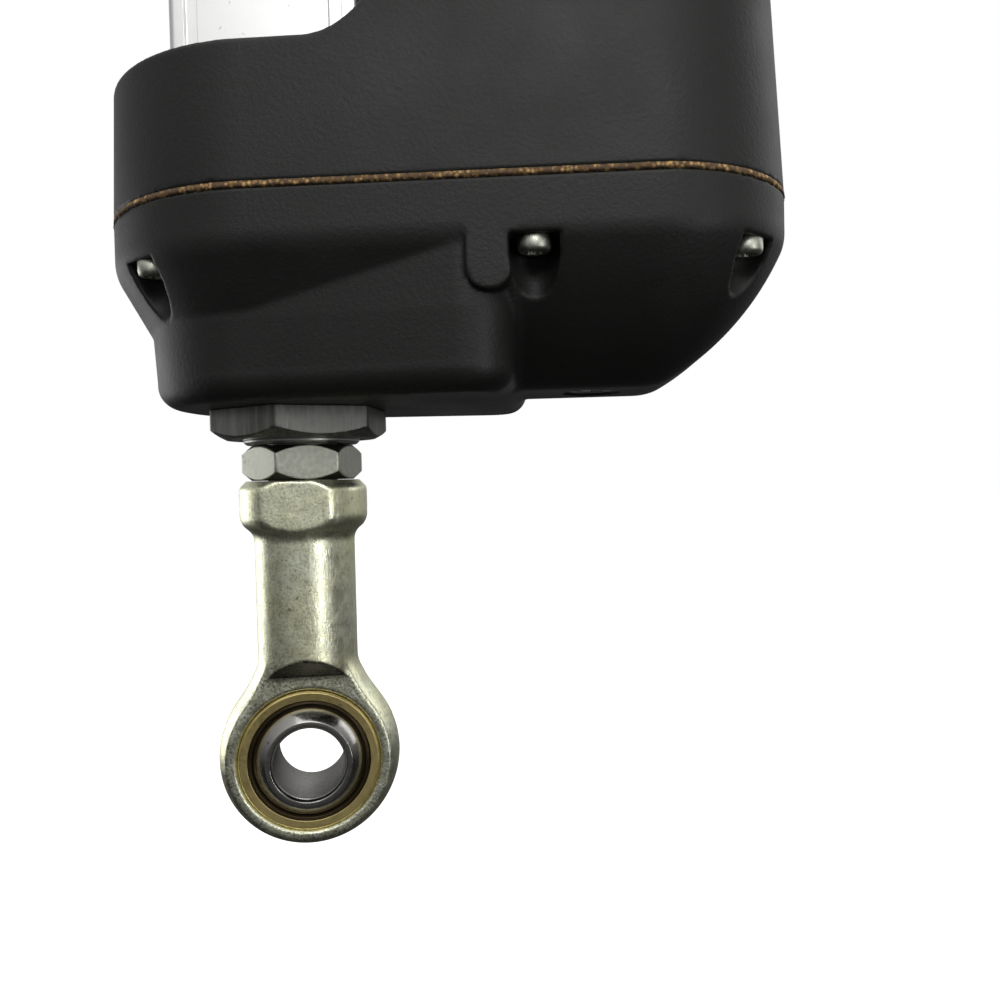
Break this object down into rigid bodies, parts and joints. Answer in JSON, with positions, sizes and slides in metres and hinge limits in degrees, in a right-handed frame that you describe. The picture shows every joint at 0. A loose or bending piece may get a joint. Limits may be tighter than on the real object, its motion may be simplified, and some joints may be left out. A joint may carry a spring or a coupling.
{
  "type": "linear actuator",
  "caption": "Electric linear actuator: a motor beside a square cover tube drives a ball screw and rod through spur gears, with a spherical rod end at each end.",
  "frame": {"origin": "centre of the rear rod end's ball", "axes": "+Z along the rod towards the front rod end, +X from the rod axis towards the motor, +Y away from the side seen in the picture"},
  "size_m": [0.153, 0.0802, 0.4536],
  "materials": {
    "chrome_ball": "polished chrome-plated bearing steel",
    "brass_race": "turned brass",
    "zinc_forging": "zinc-plated forged steel, fine grain",
    "zinc_bright": "bright zinc-plated steel",
    "turned_steel": "turned steel",
    "dark_nut_steel": "dull machined steel",
    "black_powder_coat": "fine-textured black powder coat on cast aluminium",
    "cork_composite": "cork and rubber sheet",
    "black_rubber": "matt black rubber",
    "black_plastic": "black nylon",
    "anodised_extrusion": "satin anodised extrusion",
    "bearing_steel": "ground bearing steel",
    "gear_steel": "hobbed steel",
    "bronze": "sintered bronze",
    "white_polymer": "acetal",
    "lamination_steel": "stacked laminations",
    "copper": "enamelled copper",
    "ferrite": "sintered ferrite",
    "phenolic": "phenolic moulding",
    "carbon": "electrographite",
    "chromed_rod": "ground and chromed tube"
  },
  "bodies": {
    "housing": {"gear_housing": "black_powder_coat", "gear_cap": "black_powder_coat", "cap_gasket": "cork_composite", "cap_screws": "zinc_bright", "hand_drive_plug": "turned_steel", "plug_seal": "black_rubber", "rear_sleeve": "turned_steel", "rear_hex_nut": "dark_nut_steel", "rear_stud": "zinc_bright", "rear_lock_nut": "zinc_bright", "rear_rod_end": "zinc_forging", "rear_race": "brass_race", "bearing_circlips": "gear_steel", "screw_bearing_outer_rings": "bearing_steel", "idler_axle": "turned_steel", "motor_bearings": "bearing_steel", "motor_can": "turned_steel", "motor_magnets": "ferrite", "brush_plate": "phenolic", "brushes": "carbon", "motor_cover": "black_powder_coat", "cover_seal": "black_rubber", "cover_screws": "zinc_bright", "cable_gland": "black_plastic", "power_cable": "black_rubber", "cover_tube": "anodised_extrusion", "tube_seal": "black_rubber", "tube_end_cap": "black_powder_coat", "tie_screws": "zinc_bright", "guide_bush": "bronze", "rod_wiper": "black_rubber"},
    "armature": {"motor_shaft": "turned_steel", "motor_pinion": "gear_steel", "armature_core": "lamination_steel", "armature_windings": "copper", "commutator": "copper"},
    "idler": {"idler_bush": "bronze", "idler_wheel": "gear_steel", "idler_pinion": "gear_steel"},
    "screw": {"ball_screw": "bearing_steel", "screw_key": "turned_steel", "screw_gear": "gear_steel", "screw_spacers": "turned_steel", "screw_guide": "white_polymer", "screw_lock_nut": "turned_steel", "screw_bearing_inner_rings": "bearing_steel"},
    "bearing_balls": {"screw_bearing_balls": "bearing_steel"},
    "rod": {"ball_nut": "bearing_steel", "nut_guide": "white_polymer", "rod_tube": "chromed_rod", "rod_plug": "turned_steel", "front_stud": "zinc_bright", "front_lock_nut": "zinc_bright", "front_rod_end": "zinc_forging", "front_race": "brass_race"},
    "rear_ball": {"rear_ball": "chrome_ball"},
    "front_ball": {"front_ball": "chrome_ball"}
  },
  "joints": [
    {"name": "armature_spin", "type": "hinge", "parent": "housing", "child": "armature", "pos_m": [0.0675, 0, 0.18], "axis": [0, 0, -1], "range_deg": [0, 14400]},
    {"name": "idler_spin", "type": "hinge", "parent": "housing", "child": "idler", "pos_m": [0.03375, 0, 0.116], "axis": [0, 0, -1], "range_deg": [-7200, 0]},
    {"name": "screw_spin", "type": "hinge", "parent": "housing", "child": "screw", "pos_m": [0, 0, 0.14], "axis": [0, 0, -1], "range_deg": [0, 3600]},
    {"name": "bearing_balls_spin", "type": "hinge", "parent": "housing", "child": "bearing_balls", "pos_m": [0, 0, 0.116], "axis": [0, 0, -1], "range_deg": [0, 1320.5]},
    {"name": "rod_slide", "type": "slide", "parent": "housing", "child": "rod", "axis": [0, 0, 1], "range_m": [0, 0.1]},
    {"name": "rear_ball_tilt", "type": "hinge", "parent": "housing", "child": "rear_ball", "pos_m": [0, 0, 0], "axis": [0.9748, 0.2233, 0], "range_deg": [-15, 15]},
    {"name": "front_ball_tilt", "type": "hinge", "parent": "rod", "child": "front_ball", "pos_m": [0, 0, 0.412], "axis": [1, 0, 0], "range_deg": [-15, 15]}
  ],
  "couplings": [
    {"joint": "idler_spin", "follows": "armature_spin", "ratio": -0.5},
    {"joint": "screw_spin", "follows": "armature_spin", "ratio": 0.25},
    {"joint": "bearing_balls_spin", "follows": "armature_spin", "ratio": 0.091629},
    {"joint": "rod_slide", "follows": "armature_spin", "m_per_rad": 0.00039789}
  ]
}
